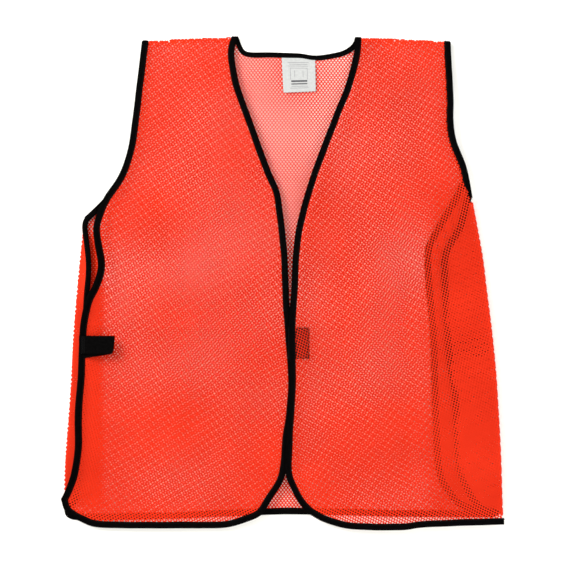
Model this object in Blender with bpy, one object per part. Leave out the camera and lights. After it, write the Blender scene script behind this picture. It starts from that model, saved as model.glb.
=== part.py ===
# A mesh safety vest, laid flat on its back with its front up.
# Blender 4.5, metres, +Z up. X runs from the wearer's right to the wearer's left, Y from the
# hem to the shoulders. The origin is under the middle of the vest, on the surface it lies on.
# Every outline below is in millimetres, as the vest lies, and is turned into metres once.
import bmesh
import bpy
import numpy as np

MM = 0.001

# Driving sizes, in millimetres
CLOTH = 0.8  # thickness given to the mesh cloth
TAPE = 1.8  # thickness of the binding, folded round the cloth's edge
TAPE_WIDTH = 8.5
STRAP_WIDTH = 25.4
GAP = 0.3  # between pieces that touch
STEP = 14.0  # distance between points along a curved edge
SHORTEST = 4.0  # a shorter step beside a trimmed end is left out
UNDER_TAPE = TAPE_WIDTH + GAP  # how far the plain cloth stays in from a bound edge
FOLD_INSET = 0.8  # how far the plain cloth stays in from a fold
CORNER_CUT = 10.0  # what is cut off the corners of the plain cloth of the fronts
SHARP_CORNER = 30.0  # the same, where a turned-in side runs out at its fold

# Heights of the layers, measured at the middle of each cloth
BACK_Z = 0.9
BACK_TUCK_Z = 3.4
RIGHT_FRONT_Z = 9.0
LEFT_STRAP_Z = 6.4
LEFT_FRONT_TUCK_Z = 9.0
LEFT_FRONT_Z = 12.2
RIGHT_STRAP_Z = 12.2
SHOULDER_WALL = 2.0  # thickness of the cloth's turn over a shoulder
PAST_WALL = 5.5  # how far from the shoulder line a binding ends, at its nearer edge

# Edges shared by the front and the back
RIGHT_SHOULDER = [(-63, 343), (-110, 342), (-150, 340), (-196, 337)]
LEFT_SHOULDER = [(233, 336), (190, 339), (145, 341), (101, 342)]
RIGHT_ARMHOLE = [(-196, 337), (-202, 284), (-210, 218), (-216, 182), (-228, 149), (-247, 121)]
LEFT_ARMHOLE = [(264, 113), (260, 134), (253, 164), (240, 198), (236, 227), (236, 259), (233, 336)]
LEFT_FOLD = [(306, -324), (302, -213), (295, -107), (284, -12), (278, 36), (264, 113)]

# Wearer's right front, from the end of the armhole round the side, hem and front edge to the neck
RIGHT_SIDE = [(-247, 121), (-255, 104), (-262, 79), (-260, 55), (-255, 23), (-262, -3), (-272, -24)]
RIGHT_SIDE += [(-279, -52), (-283, -85), (-283, -130), (-287, -180), (-287, -228), (-292, -262)]
RIGHT_SIDE += [(-301, -287), (-308, -301)]
RIGHT_HEM = [(-308, -301), (-302, -318), (-281, -332), (-255, -340), (-188, -341), (-120, -341)]
RIGHT_HEM += [(-80, -340)]
RIGHT_EDGE = [(-80, -340), (-50, -332), (-30, -322), (-16, -301), (-1, -277), (5, -254), (8, -215)]
RIGHT_EDGE += [(13, -180), (16, -135), (12, -80), (8, -18), (5, 46), (-1, 100), (-6, 128)]
RIGHT_EDGE += [(-19, 159), (-44, 227), (-60, 272), (-67, 305), (-68, 325), (-63, 343)]

# Wearer's left front, from the neck down the front edge and along the hem to the side fold
LEFT_EDGE = [(101, 342), (99, 318), (87, 273), (71, 233), (42, 157), (22, 90), (15, 45), (12, -9)]
LEFT_EDGE += [(9, -60), (9, -150), (5, -215), (4, -262), (11, -284), (25, -309), (42, -324)]
LEFT_EDGE += [(66, -335), (100, -342)]
LEFT_HEM = [(100, -342), (164, -343), (200, -339), (307, -335)]

# The sides that are turned in: each runs from its fold, along the bound edge, back to its fold
LEFT_FRONT_TURN = [(260, 137), (252, 112), (243, 80), (230, 57), (221, 32), (222, -15), (228, -106)]
LEFT_FRONT_TURN += [(236, -159), (241, -252), (256, -295), (275, -317), (305, -326)]
LEFT_BACK_TURN = [(257, 153), (247, 138), (234, 113), (207, 66), (199, 44), (199, 4), (206, -77)]
LEFT_BACK_TURN += [(209, -185), (214, -262), (229, -294), (252, -316), (302, -325)]
RIGHT_BACK_TURN = [(-305, -316), (-291, -310), (-284, -285), (-277, -180), (-275, -100), (-271, -30)]
RIGHT_BACK_TURN += [(-268, 5), (-267, 35), (-271, 62), (-278, 86)]
RIGHT_FOLD = [(-277, 91), (-280, 70), (-285, 25), (-293, -68), (-297, -144), (-305, -255), (-306, -312)]

# The back's own edges
BACK_NECK = [(101, 342), (97, 333), (83, 322), (60, 316), (42, 314), (20, 319), (-20, 321)]
BACK_NECK += [(-49, 322), (-57, 328), (-63, 343)]
BACK_ARMHOLE_END = [(-247, 121), (-262, 105), (-277, 91)]
BACK_HEM = [(-306, -312), (-300, -328), (-270, -331), (-150, -329), (5, -323), (150, -326), (296, -327)]

# The straight lines that the fronts turn back along, each from the neck to the hem
RIGHT_TURN_BACK = ((-80, 343), (-100, -341))
LEFT_TURN_BACK = ((114, 342), (190, -341))

# Small pieces: the lowest and highest corners, seen from above
RIGHT_STRAP = ((-284, -99), (-234, -99 + STRAP_WIDTH))
LEFT_STRAP = ((236, -103), (286, -103 + STRAP_WIDTH))
LABEL = ((-2, 264), (45, 312.5))
CLOSURE_Y = (-106, -62)
HOOK_TAB_REACH = 36  # how far to the wearer's left the hook tab reaches
HOOK_TAB = 1.0  # thickness
LOOP_PATCH = 1.2  # thickness
STRAP_CLOTH = 1.2  # thickness of one leg of a side strap
LEFT_EDGE_AT_WAIST = 9
WAIST_HALF = 140  # the fronts' edges run nearly straight this far above and below y = 0


def smooth(points):
    """A curve through the points, with a point about every STEP."""
    points = np.array(points, float)
    ends = np.vstack([2 * points[0] - points[1], points, 2 * points[-1] - points[-2]])
    path = []
    for before, start, end, after in zip(ends, ends[1:], ends[2:], ends[3:]):
        count = max(1, round(np.linalg.norm(end - start) / STEP))
        t = np.arange(count)[:, None] / count
        path += list(
            start
            + 0.5 * t * (end - before)
            + t**2 * (before - 2.5 * start + 2 * end - 0.5 * after)
            + t**3 * (1.5 * (start - end) + 0.5 * (after - before))
        )
    return np.array(path + [points[-1]])


def left_normal(direction):
    return np.array([-direction[1], direction[0]]) / np.linalg.norm(direction)


def offset(path, depth):
    """The path moved to its left by a depth, with mitred corners."""
    normals = np.array([left_normal(step) for step in np.diff(path, axis=0)])
    before, after = np.vstack([normals[:1], normals]), np.vstack([normals, normals[-1:]])
    mitre = (before + after) / (1 + (before * after).sum(1))[:, None]
    return path + depth * mitre


def trimmed(path, start, end):
    """The path without its first and last millimetres."""
    for cut in (start, end):
        lengths = np.linalg.norm(np.diff(path, axis=0), axis=1)
        first = int(np.searchsorted(np.cumsum(lengths), cut, side="right"))
        rest = cut - lengths[:first].sum()
        begin = path[first] + (path[first + 1] - path[first]) * rest / lengths[first]
        next_point = first + (2 if lengths[first] - rest < SHORTEST and first + 2 < len(path) else 1)
        path = np.vstack([begin, path[next_point:]])[::-1]
    return path


def inset(sides, corner=0.0):
    """The closed outline of (path, depth) sides, with each side moved in by its depth."""
    moved = []
    for i, (path, depth) in enumerate(sides):
        before, after = sides[i - 1][1], sides[(i + 1) % len(sides)][1]
        path = trimmed(path, max(before, corner), max(after, corner))
        moved.append(offset(path, depth))
    return np.vstack(moved)


def joined(*paths):
    """One path from paths that follow each other."""
    return np.vstack([path[:-1] for path in paths[:-1]] + [paths[-1]])


def strips(paths, start_gap=GAP, end_gap=GAP):
    """The outlines of bindings that follow each other, to the left of the edge that they cover."""
    edge = trimmed(joined(*paths), start_gap, end_gap)
    rails = [edge, offset(edge, TAPE_WIDTH)]
    ends = [int(np.linalg.norm(edge - path[-1], axis=1).argmin()) for path in paths]
    outlines = []
    for first, last in zip([0, *ends], ends):
        outer, inner = (trimmed(rail[first : last + 1], GAP / 2, GAP / 2) for rail in rails)
        outlines.append(np.vstack([outer, inner[::-1]]))
    return outlines


def beside(outline, line, side):
    """The part of an outline on the +X side (1) or the -X side (-1) of a line, half a gap from it."""
    low, high = np.array(line[1], float), np.array(line[0], float)
    normal = -side * left_normal(high - low)
    distances = (outline - low) @ normal - GAP / 2
    kept = []
    for i, point in enumerate(outline):
        j = (i + 1) % len(outline)
        if distances[i] >= 0:
            kept.append(point)
        if (distances[i] >= 0) != (distances[j] >= 0):
            share = distances[i] / (distances[i] - distances[j])
            kept.append(point + share * (outline[j] - point))
    return np.array(kept)


def rectangle(corners):
    (x0, y0), (x1, y1) = corners
    return np.array([(x0, y0), (x1, y0), (x1, y1), (x0, y1)], float)


def material(name, color, roughness):
    made = bpy.data.materials.new(name)
    made.use_nodes = True
    shader = made.node_tree.nodes["Principled BSDF"]
    shader.inputs["Base Color"].default_value = (*color, 1)
    shader.inputs["Roughness"].default_value = roughness
    return made


def mesh_cloth():
    return material("orange_mesh", (0.95, 0.09, 0.03), 0.7)


def black_tape():
    return material("black_tape", (0.012, 0.011, 0.012), 0.75)


def black_elastic():
    return material("black_elastic", (0.010, 0.010, 0.011), 0.85)


def fastener_tape():
    return material("fastener_tape", (0.015, 0.014, 0.015), 0.95)


def label_cloth():
    return material("label_cloth", (0.80, 0.81, 0.78), 0.6)


def solid(name, bm, finish, pivot):
    """An object from a bmesh in millimetres, with its origin at the pivot."""
    bmesh.ops.recalc_face_normals(bm, faces=bm.faces)
    pivot = np.array(pivot, float)
    for vertex in bm.verts:
        vertex.co = (np.array(vertex.co) - pivot) * MM
    mesh = bpy.data.meshes.new(name)
    bm.to_mesh(mesh)
    bm.free()
    mesh.materials.append(finish)
    made = bpy.data.objects.new(name, mesh)
    made.location = pivot * MM
    bpy.context.scene.collection.objects.link(made)
    return made


def plate(name, outline, middle_z, thickness, finish, pivot=(0, 0, 0)):
    """A flat solid of one thickness, from its outline seen from above."""
    bm = bmesh.new()
    low = [bm.verts.new((x, y, middle_z - thickness / 2)) for x, y in outline]
    face = bm.faces.new(low)
    grown = bmesh.ops.extrude_face_region(bm, geom=[face])["geom"]
    lifted = [item for item in grown if isinstance(item, bmesh.types.BMVert)]
    bmesh.ops.translate(bm, verts=lifted, vec=(0, 0, thickness))
    return solid(name, bm, finish, pivot)


def strap_loop(name, corners, middle_z, height, fold_sign, pivot):
    """A strap folded in half: two flat legs joined by a fold at one end."""
    (x0, y0), (x1, y1) = corners
    open_x, fold_x = (x0, x1) if fold_sign > 0 else (x1, x0)
    inner_x = fold_x - fold_sign * STRAP_CLOTH
    top, low = middle_z + height / 2, middle_z - height / 2
    profile = [(open_x, low), (fold_x, low), (fold_x, top), (open_x, top)]
    profile += [(open_x, top - STRAP_CLOTH), (inner_x, top - STRAP_CLOTH)]
    profile += [(inner_x, low + STRAP_CLOTH), (open_x, low + STRAP_CLOTH)]
    bm = bmesh.new()
    face = bm.faces.new([bm.verts.new((x, y0, z)) for x, z in profile])
    grown = bmesh.ops.extrude_face_region(bm, geom=[face])["geom"]
    far = [item for item in grown if isinstance(item, bmesh.types.BMVert)]
    bmesh.ops.translate(bm, verts=far, vec=(0, y1 - y0, 0))
    return solid(name, bm, black_elastic(), pivot)


def hinge_height(front_z):
    """A front turns back about a line just above its own binding."""
    return front_z + TAPE / 2 + 0.2


def build_back():
    finish, tape = mesh_cloth(), black_tape()
    right_arm, left_arm = smooth(RIGHT_ARMHOLE + BACK_ARMHOLE_END[1:]), smooth(LEFT_ARMHOLE)
    neck, hem = smooth(BACK_NECK), smooth(BACK_HEM)
    right_fold, left_fold = smooth(RIGHT_FOLD), smooth([(302, -326)] + LEFT_FOLD[1:])
    sides = [
        (smooth(RIGHT_SHOULDER), SHOULDER_WALL + GAP),
        (right_arm, UNDER_TAPE),
        (right_fold, FOLD_INSET),
        (hem, UNDER_TAPE),
        (left_fold, FOLD_INSET),
        (left_arm, UNDER_TAPE),
        (smooth(LEFT_SHOULDER), SHOULDER_WALL + GAP),
        (neck, UNDER_TAPE),
    ]
    plate("back_panel", inset(sides), CLOTH / 2, CLOTH, finish)
    bindings = {
        "back_neck_binding": strips([neck], PAST_WALL, PAST_WALL),
        "right_back_armhole_binding": strips([right_arm], PAST_WALL),
        "left_back_armhole_binding": strips([left_arm], CORNER_CUT + 2, PAST_WALL),
        "back_hem_binding": strips([hem]),
    }
    for name, (outline,) in bindings.items():
        plate(name, outline, BACK_Z, TAPE, tape)


def build_turn(name, turned_edge, fold, height):
    """A side turned in from its fold, with the binding along its edge."""
    edge = smooth(turned_edge)
    fold = smooth([turned_edge[-1], *fold[1:-1], turned_edge[0]])
    outline = inset([(edge, UNDER_TAPE + FOLD_INSET), (fold, FOLD_INSET)], SHARP_CORNER)
    plate(f"{name}_tuck", outline, height, CLOTH, mesh_cloth())
    (bound,) = strips([edge], TAPE_WIDTH, TAPE_WIDTH)
    plate(f"{name}_side_binding", bound, height, TAPE, black_tape())


def build_turns():
    build_turn("left_front", LEFT_FRONT_TURN, LEFT_FOLD, LEFT_FRONT_TUCK_Z)
    build_turn("left_back", LEFT_BACK_TURN, LEFT_FOLD, BACK_TUCK_Z)
    build_turn("right_back", RIGHT_BACK_TURN, RIGHT_FOLD, BACK_TUCK_Z)


def build_shoulder(name, shoulder, front_z):
    """The turn of the cloth over a shoulder, from the back up to the front."""
    wall = smooth(shoulder)
    outline = np.vstack([wall, offset(wall, SHOULDER_WALL)[::-1]])
    top = front_z + CLOTH / 2
    plate(name, outline, top / 2, top, mesh_cloth())


def build_right_front():
    finish, tape = mesh_cloth(), black_tape()
    arm, side = smooth(RIGHT_ARMHOLE), smooth(RIGHT_SIDE)
    hem, edge = smooth(RIGHT_HEM), smooth(RIGHT_EDGE)
    sides = [(smooth(RIGHT_SHOULDER), SHOULDER_WALL + GAP)]
    sides.append((joined(arm, side, hem, edge), UNDER_TAPE))
    whole = inset(sides, CORNER_CUT)
    line, height = RIGHT_TURN_BACK, RIGHT_FRONT_Z
    pivot = (*line[0], hinge_height(height))
    plate("right_front_side", beside(whole, line, -1), height, CLOTH, finish)
    plate("right_front_flap", beside(whole, line, 1), height, CLOTH, finish, pivot)
    runs = strips([arm, side, joined(hem, edge)], PAST_WALL, PAST_WALL)
    around_arm, down_side, hem_and_edge = runs
    plate("right_front_armhole_binding", around_arm, height, TAPE, tape)
    plate("right_front_side_binding", down_side, height, TAPE, tape)
    plate("right_front_hem_binding", beside(hem_and_edge, line, -1), height, TAPE, tape)
    plate("right_front_edge_binding", beside(hem_and_edge, line, 1), height, TAPE, tape, pivot)


def build_left_front():
    finish, tape = mesh_cloth(), black_tape()
    edge, hem = smooth(LEFT_EDGE), smooth(LEFT_HEM)
    arm, fold = smooth(LEFT_ARMHOLE), smooth([(307, -335)] + LEFT_FOLD)
    sides = [(joined(edge, hem), UNDER_TAPE), (fold, FOLD_INSET), (arm, UNDER_TAPE)]
    sides.append((smooth(LEFT_SHOULDER), SHOULDER_WALL + GAP))
    whole = inset(sides, CORNER_CUT)
    line, height = LEFT_TURN_BACK, LEFT_FRONT_Z
    pivot = (*line[0], hinge_height(height))
    plate("left_front_side", beside(whole, line, 1), height, CLOTH, finish)
    plate("left_front_flap", beside(whole, line, -1), height, CLOTH, finish, pivot)
    (around_arm,) = strips([arm], CORNER_CUT + 2, PAST_WALL)
    plate("left_front_armhole_binding", around_arm, height, TAPE, tape)
    (edge_and_hem,) = strips([joined(edge, hem)], PAST_WALL)
    plate("left_front_hem_binding", beside(edge_and_hem, line, 1), height, TAPE, tape)
    plate("left_front_edge_binding", beside(edge_and_hem, line, -1), height, TAPE, tape, pivot)


def build_closure():
    """The hook tab reaches from the right front's edge under the loop patch on the left front."""
    edge = smooth(RIGHT_EDGE)
    y0, y1 = CLOSURE_Y
    outward = edge[(edge[:, 1] > y0) & (edge[:, 1] < y1)] + (GAP, 0)
    waist = edge[np.abs(edge[:, 1]) < WAIST_HALF]
    low_x, high_x = np.interp([y0, y1], waist[:, 1], waist[:, 0]) + GAP
    outline = [(low_x, y0), (HOOK_TAB_REACH, y0), (HOOK_TAB_REACH, y1), (high_x, y1)]
    outline += list(outward[::-1])
    right_pivot = (*RIGHT_TURN_BACK[0], hinge_height(RIGHT_FRONT_Z))
    left_pivot = (*LEFT_TURN_BACK[0], hinge_height(LEFT_FRONT_Z))
    plate("hook_tab", outline, RIGHT_FRONT_Z - 0.2, HOOK_TAB, fastener_tape(), right_pivot)
    low_corner = (LEFT_EDGE_AT_WAIST + UNDER_TAPE, y0)
    patch = rectangle((low_corner, (HOOK_TAB_REACH + 4, y1)))
    patch_z = LEFT_FRONT_Z - CLOTH / 2 - GAP - LOOP_PATCH / 2
    plate("loop_patch", patch, patch_z, LOOP_PATCH, fastener_tape(), left_pivot)


def build_straps():
    right_low = RIGHT_FRONT_Z + TAPE / 2 + GAP
    height = 2 * (RIGHT_STRAP_Z - right_low)
    right_pivot = (RIGHT_STRAP[0][0], -86, right_low)
    strap_loop("right_side_strap", RIGHT_STRAP, RIGHT_STRAP_Z, height, 1, right_pivot)
    strap_loop("left_side_strap", LEFT_STRAP, LEFT_STRAP_Z, 3.0, 1, (0, 0, 0))


def build_label():
    (x0, _), (x1, top_y) = LABEL
    thickness = 0.6
    middle_z = TAPE + GAP + thickness / 2
    pivot = ((x0 + x1) / 2, top_y, middle_z)
    plate("care_label", rectangle(LABEL), middle_z, thickness, label_cloth(), pivot)


def clear_scene():
    for old in list(bpy.data.objects):
        bpy.data.objects.remove(old, do_unlink=True)


def main():
    clear_scene()
    build_back()
    build_turns()
    build_shoulder("right_shoulder_fold", RIGHT_SHOULDER, RIGHT_FRONT_Z)
    build_shoulder("left_shoulder_fold", LEFT_SHOULDER, LEFT_FRONT_Z)
    build_right_front()
    build_left_front()
    build_closure()
    build_straps()
    build_label()


main()
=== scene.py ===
import math

import bpy
import numpy as np
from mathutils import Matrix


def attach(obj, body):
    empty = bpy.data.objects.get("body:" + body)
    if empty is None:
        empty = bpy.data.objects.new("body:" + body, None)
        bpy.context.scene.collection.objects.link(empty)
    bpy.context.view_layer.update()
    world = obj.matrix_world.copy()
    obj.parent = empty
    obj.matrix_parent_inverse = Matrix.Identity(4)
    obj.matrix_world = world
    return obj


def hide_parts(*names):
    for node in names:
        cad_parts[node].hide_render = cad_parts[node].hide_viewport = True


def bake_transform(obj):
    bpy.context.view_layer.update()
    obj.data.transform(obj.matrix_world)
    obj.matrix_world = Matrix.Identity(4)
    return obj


# A mesh safety vest laid flat on its back, front up, with the right front under the left one.
# Right and left are the wearer's: X runs from right to left, Y from the hem to the shoulders.
# Shapes are worked out in millimetres, and turned into metres when a mesh is made.

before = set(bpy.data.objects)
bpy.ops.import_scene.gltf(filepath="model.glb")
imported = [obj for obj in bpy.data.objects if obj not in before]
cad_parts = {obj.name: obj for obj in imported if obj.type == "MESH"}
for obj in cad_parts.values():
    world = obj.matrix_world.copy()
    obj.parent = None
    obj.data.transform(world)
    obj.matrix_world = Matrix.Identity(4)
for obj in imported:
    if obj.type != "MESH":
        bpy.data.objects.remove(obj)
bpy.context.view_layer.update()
mm = 0.001
print("frame loaded, nodes:", len(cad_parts))

# the cut: edges of the laid vest, seen from above, as the frame has them

rightShoulder = [(-63, 343), (-110, 342), (-150, 340), (-196, 337)]
leftShoulder = [(233, 336), (190, 339), (145, 341), (101, 342)]
rightArmhole = [(-196, 337), (-202, 284), (-210, 218), (-216, 182), (-228, 149), (-247, 121)]
leftArmhole = [(264, 113), (260, 134), (253, 164), (240, 198), (236, 227), (236, 259), (233, 336)]
leftFold = [(306, -324), (302, -213), (295, -107), (284, -12), (278, 36), (264, 113)]
rightSide = [(-247, 121), (-255, 104), (-262, 79), (-260, 55), (-255, 23), (-262, -3), (-272, -24),
             (-279, -52), (-283, -85), (-283, -130), (-287, -180), (-287, -228), (-292, -262),
             (-301, -287), (-308, -301)]
rightHem = [(-308, -301), (-302, -318), (-281, -332), (-255, -340), (-188, -341), (-120, -341),
            (-80, -340)]
rightEdge = [(-80, -340), (-50, -332), (-30, -322), (-16, -301), (-1, -277), (5, -254), (8, -215),
             (13, -180), (16, -135), (12, -80), (8, -18), (5, 46), (-1, 100), (-6, 128),
             (-19, 159), (-44, 227), (-60, 272), (-67, 305), (-68, 325), (-63, 343)]
leftEdge = [(101, 342), (99, 318), (87, 273), (71, 233), (42, 157), (22, 90), (15, 45), (12, -9),
            (9, -60), (9, -150), (5, -215), (4, -262), (11, -284), (25, -309), (42, -324),
            (66, -335), (100, -342)]
leftHem = [(100, -342), (164, -343), (200, -339), (307, -335)]
leftFrontTurn = [(260, 137), (252, 112), (243, 80), (230, 57), (221, 32), (222, -15), (228, -106),
                 (236, -159), (241, -252), (256, -295), (275, -317), (305, -326)]
leftBackTurn = [(257, 153), (247, 138), (234, 113), (207, 66), (199, 44), (199, 4), (206, -77),
                (209, -185), (214, -262), (229, -294), (252, -316), (302, -325)]
rightBackTurn = [(-305, -316), (-291, -310), (-284, -285), (-277, -180), (-275, -100), (-271, -30),
                 (-268, 5), (-267, 35), (-271, 62), (-278, 86)]
rightFold = [(-277, 91), (-280, 70), (-285, 25), (-293, -68), (-297, -144), (-305, -255),
             (-306, -312)]
backNeck = [(101, 342), (97, 333), (83, 323.5), (60, 318.5), (42, 317), (20, 320), (-20, 321.5),
            (-49, 322), (-57, 328), (-63, 343)]
backArmholeEnd = [(-247, 121), (-262, 105), (-277, 91)]
backHem = [(-306, -312), (-300, -328), (-270, -331), (-150, -329), (5, -323), (150, -326),
           (296, -327)]


def smoothCurve(points, step=5.0):
    # an even run of points along a curve through the given ones
    points = np.array(points, float)
    ends = np.vstack([2 * points[0] - points[1], points, 2 * points[-1] - points[-2]])
    path = []
    for before, start, end, after in zip(ends, ends[1:], ends[2:], ends[3:]):
        t = np.linspace(0, 1, 12, endpoint=False)[:, None]
        path.append(start + 0.5 * t * (end - before)
                    + t**2 * (before - 2.5 * start + 2 * end - 0.5 * after)
                    + t**3 * (1.5 * (start - end) + 0.5 * (after - before)))
    return evenRun(np.vstack(path + [points[-1:]]), step)


def evenRun(path, step):
    lengths = np.concatenate([[0], np.cumsum(np.linalg.norm(np.diff(path, axis=0), axis=1))])
    at = np.linspace(0, lengths[-1], max(2, round(lengths[-1] / step)) + 1)
    return np.stack([np.interp(at, lengths, path[:, k]) for k in range(path.shape[1])], 1)


def joined(*paths):
    return np.vstack([path[:-1] for path in paths[:-1]] + [paths[-1]])


def distanceTo(path, x, y):
    # from each point to a line of points
    shape = np.shape(x)
    points = np.stack([np.ravel(x), np.ravel(y)], 1)
    nearest = np.full(len(points), 1e9)
    for start, end in zip(path, path[1:]):
        along = end - start
        share = np.clip((points - start) @ along / (along @ along), 0, 1)
        gap = points - start - share[:, None] * along
        nearest = np.minimum(nearest, np.einsum("ij,ij->i", gap, gap))
    return np.sqrt(nearest).reshape(shape)


def insideOf(outline, x, y):
    hit = np.zeros(np.shape(x), bool)
    for (x0, y0), (x1, y1) in zip(outline, np.roll(outline, -1, axis=0)):
        if y0 != y1:
            crosses = (y0 > y) != (y1 > y)
            hit ^= crosses & (x < (x1 - x0) * (y - y0) / (y1 - y0) + x0)
    return hit


def across(path, y):
    # x of a line that runs from bottom to top, at each y
    order = np.argsort(path[:, 1])
    return np.interp(y, path[order, 1], path[order, 0])


def smoothStep(value, low, high):
    t = np.clip((value - low) / (high - low), 0, 1)
    return t * t * (3 - 2 * t)


def softWaves(x, y, seed, length, height):
    draw = np.random.RandomState(seed)
    total = 0
    for _ in range(7):
        angle, phase = draw.uniform(0, 2 * math.pi, 2)
        reach = length * draw.uniform(0.7, 1.6)
        way = x * math.cos(angle) + y * math.sin(angle)
        total = total + np.sin(way * 2 * math.pi / reach + phase)
    return height * total / 2.6


# how the cloth lies: each layer is a height over the cut, with its folds and turns

rightSideLine, leftFoldLine = smoothCurve(rightSide), smoothCurve(leftFold)
rightFoldLine = smoothCurve(rightFold)
rightShoulderLine, leftShoulderLine = smoothCurve(rightShoulder), smoothCurve(leftShoulder)
rightHemEdge, leftEdgeHem = smoothCurve(rightHem + rightEdge[1:]), smoothCurve(leftEdge + leftHem[1:])
rightFrontBound = joined(smoothCurve(rightArmhole), rightSideLine, rightHemEdge)
leftArmholeLine = smoothCurve(leftArmhole)

lay = {
    "back": 0.9,
    "backTuck": 3.6,
    "rightFront": 9.0,
    "leftTuck": 9.0,
    "leftFront": 12.2,
    "shoulderReach": 4.0,  # how far from the shoulder line the cloth starts to turn over
    "shoulderMiddle": 3.6,  # height of the turn's outermost point
    "shoulderDrop": 4.0,  # how much lower a front lies at its shoulder
    "gape": 3.5,  # how far the back's turned-in edge stands up beside the open side
    "sag": 3.2,  # how much a front sinks between its bound edges
    "sagReach": 40.0,
    "sideLift": 12.0,  # how far the right front's open side stands off the back
    "sideLiftReach": 12.0,
    "sideLiftSpan": (118, 40, -255, -312),  # y where that lift starts, is full, starts to fade, and ends
    "strapHold": (-86, 30, 0.9),  # y where the strap holds the side down, how far along, and how much
    "frontWaves": (120, 0.7),  # length and height of the slow waves in a front
    "frontRipples": (46, 0.22),
    "backWaves": (110, 0.8),
    "shoulderSlope": (250, 340),  # y where a front starts to go down to its shoulder, and ends
    "foldRadius": 1.9,  # of the left front's turn at its side
}

# packing creases in the fronts: a point, a direction, and the ridge's height
creases = [((-115, 0), (0.01, 1), 0.9), ((121, 0), (-0.02, 1), 0.9), ((0, 136), (1, 0.01), 0.7),
           ((0, -62), (1, -0.01), 0.8), ((0, -135), (1, 0.02), 0.7)]


def creaseHeight(x, y):
    total = 0
    for (px, py), (dx, dy), height in creases:
        length = math.hypot(dx, dy)
        off = ((x - px) * dy - (y - py) * dx) / length
        total = total + height * np.exp(-np.abs(off + 1.5 * np.sin((x + y) / 90)) / 5.0)
    return total


def rightFrontHeight(x, y):
    inward = distanceTo(rightFrontBound, x, y)
    height = lay["rightFront"] + softWaves(x, y, 3, *lay["frontWaves"])
    height = height + softWaves(x, y, 4, *lay["frontRipples"])
    height = height + creaseHeight(x, y) - lay["sag"] * smoothStep(inward, 0, lay["sagReach"])
    fromSide = distanceTo(rightSideLine, x, y)
    start, full, fades, ends = lay["sideLiftSpan"]
    stands = smoothStep(-y, -start, -full) * (1 - smoothStep(-y, -fades, -ends))
    strapY, strapReach, strapHold = lay["strapHold"]
    stands = stands * (1 - strapHold * np.exp(-(((y - strapY) / strapReach) ** 2)))
    height = height + lay["sideLift"] * stands * np.exp(-((fromSide / lay["sideLiftReach"]) ** 2))
    return height - lay["shoulderDrop"] * smoothStep(y, *lay["shoulderSlope"])


def leftFrontHeight(x, y):
    inward = np.minimum(distanceTo(leftEdgeHem, x, y), distanceTo(leftArmholeLine, x, y))
    height = lay["leftFront"] + softWaves(x, y, 8, *lay["frontWaves"])
    height = height + softWaves(x, y, 9, *lay["frontRipples"])
    gusset = smoothStep(x, 170, 215) * (1 - smoothStep(y, 90, 160))
    sag = lay["sag"] * 1.6 * smoothStep(inward, 4, lay["sagReach"] + 10) * (1 - gusset)
    drop = lay["shoulderDrop"] * 1.4 * smoothStep(y, *lay["shoulderSlope"])
    return height + creaseHeight(x, y) - sag - drop


def backHeight(x, y):
    return lay["back"] + 0.5 * (1 + softWaves(x, y, 14, *lay["backWaves"]))


def overShoulder(x, y, height, shoulder, middle):
    # the cloth turns over at the shoulder line, down from a front or up from the back
    order = np.argsort(shoulder[:, 0])
    line = np.interp(x, shoulder[order, 0], shoulder[order, 1])
    reach = lay["shoulderReach"]
    turn = np.clip((y - line + reach) / reach, 0, 1.15) * math.pi / 2
    turned = np.where(turn > 0, line - reach + reach * np.sin(turn), y)
    return turned, height + (middle - height) * (1 - np.cos(turn))


def roundFold(x, fold, side, low, high, radius):
    # x and height of cloth that folds at a line and comes back at another height
    beyond = (x - fold) * side
    turn = np.clip(beyond / radius, -1, 1) * math.pi / 2
    rolled = fold - side * radius * (1 - np.cos(turn))
    placed = np.where(np.abs(beyond) < radius, rolled, fold - side * np.abs(beyond))
    return placed, low + (high - low) * (1 + np.sin(turn)) / 2


def onRightFront(x, y):
    height = rightFrontHeight(x, y)
    y, height = overShoulder(x, y, height, rightShoulderLine, lay["shoulderMiddle"])
    return np.stack([x, y, height], -1)


def onLeftFrontFlat(x, y):
    y, height = overShoulder(x, y, leftFrontHeight(x, y), leftShoulderLine, lay["shoulderMiddle"])
    return np.stack([x, y, height], -1)


def onLeftTuck(x, y):
    return np.stack([x, y, leftFrontHeight(x, y) + lay["leftTuck"] - lay["leftFront"]], -1)


def onLeftFront(x, y):
    fold = across(leftFoldLine, y)
    placed, share = roundFold(x, fold, 1, 0.0, lay["leftFront"] - lay["leftTuck"], lay["foldRadius"])
    height = leftFrontHeight(np.minimum(x, fold), y) - share
    y, height = overShoulder(placed, y, height, leftShoulderLine, lay["shoulderMiddle"])
    return np.stack([placed, y, height], -1)


def onBackFlat(x, y):
    shoulder = joined(leftShoulderLine, rightShoulderLine)
    y, height = overShoulder(x, y, backHeight(x, y), shoulder, lay["shoulderMiddle"])
    return np.stack([x, y, height], -1)


def backTuckRise(x, y):
    # the turned-in edge stands up a little where the side gapes
    gape = smoothStep(y, -45, -8) * (1 - smoothStep(y, 58, 84)) * (x < 0)
    fromFold = smoothStep(x - across(rightFoldLine, y), 2, 15)
    return lay["backTuck"] - lay["back"] + lay["gape"] * gape * fromFold


def onBackTuck(x, y):
    return np.stack([x, y, backHeight(x, y) + backTuckRise(x, y)], -1)


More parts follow.
